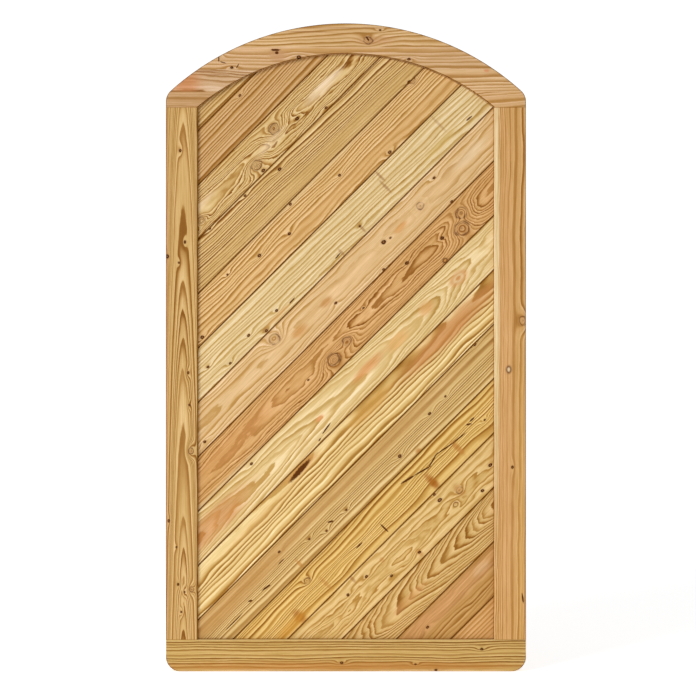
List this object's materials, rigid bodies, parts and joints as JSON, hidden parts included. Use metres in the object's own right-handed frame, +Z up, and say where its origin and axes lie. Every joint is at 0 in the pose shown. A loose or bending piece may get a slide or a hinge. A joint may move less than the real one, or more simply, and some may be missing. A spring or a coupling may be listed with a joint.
{
  "type": "garden gate",
  "caption": "Arched larch garden gate leaf: a grooved frame of stiles, bottom rail and arched top rail round a panel of diagonal tongue-and-groove boards.",
  "frame": {"origin": "middle of the leaf's bottom edge, halfway through its depth", "axes": "+X to the right seen from the front, +Y towards the back, +Z up; the boards rise towards +X seen from the front"},
  "size_m": [1, 0.045, 1.8],
  "materials": {
    "larch_arch": "planed, unfinished",
    "larch_stile": "planed, unfinished",
    "larch_sill": "planed, unfinished",
    "larch_straw": "planed, unfinished",
    "larch_golden": "planed, unfinished",
    "larch_pale": "planed, unfinished",
    "larch_red": "planed, unfinished",
    "beech": "planed, unfinished"
  },
  "bodies": {
    "root": {"arch_crown_stave": "larch_arch", "arch_middle_stave": "larch_arch", "arch_left_haunch": "larch_arch", "arch_right_haunch": "larch_arch", "arch_left_foot": "larch_arch", "arch_right_foot": "larch_arch", "left_stile": "larch_stile", "right_stile": "larch_stile", "bottom_rail": "larch_sill", "corner_dowels": "beech", "board_01": "larch_golden", "board_02": "larch_red", "board_03": "larch_golden", "board_04": "larch_golden", "board_05": "larch_straw", "board_06": "larch_pale", "board_07": "larch_pale", "board_08": "larch_red", "board_09": "larch_pale", "board_10": "larch_straw", "board_11": "larch_golden", "board_12": "larch_straw", "board_13": "larch_straw", "board_14": "larch_golden", "board_15": "larch_red", "board_16": "larch_red"}
  },
  "joints": []
}
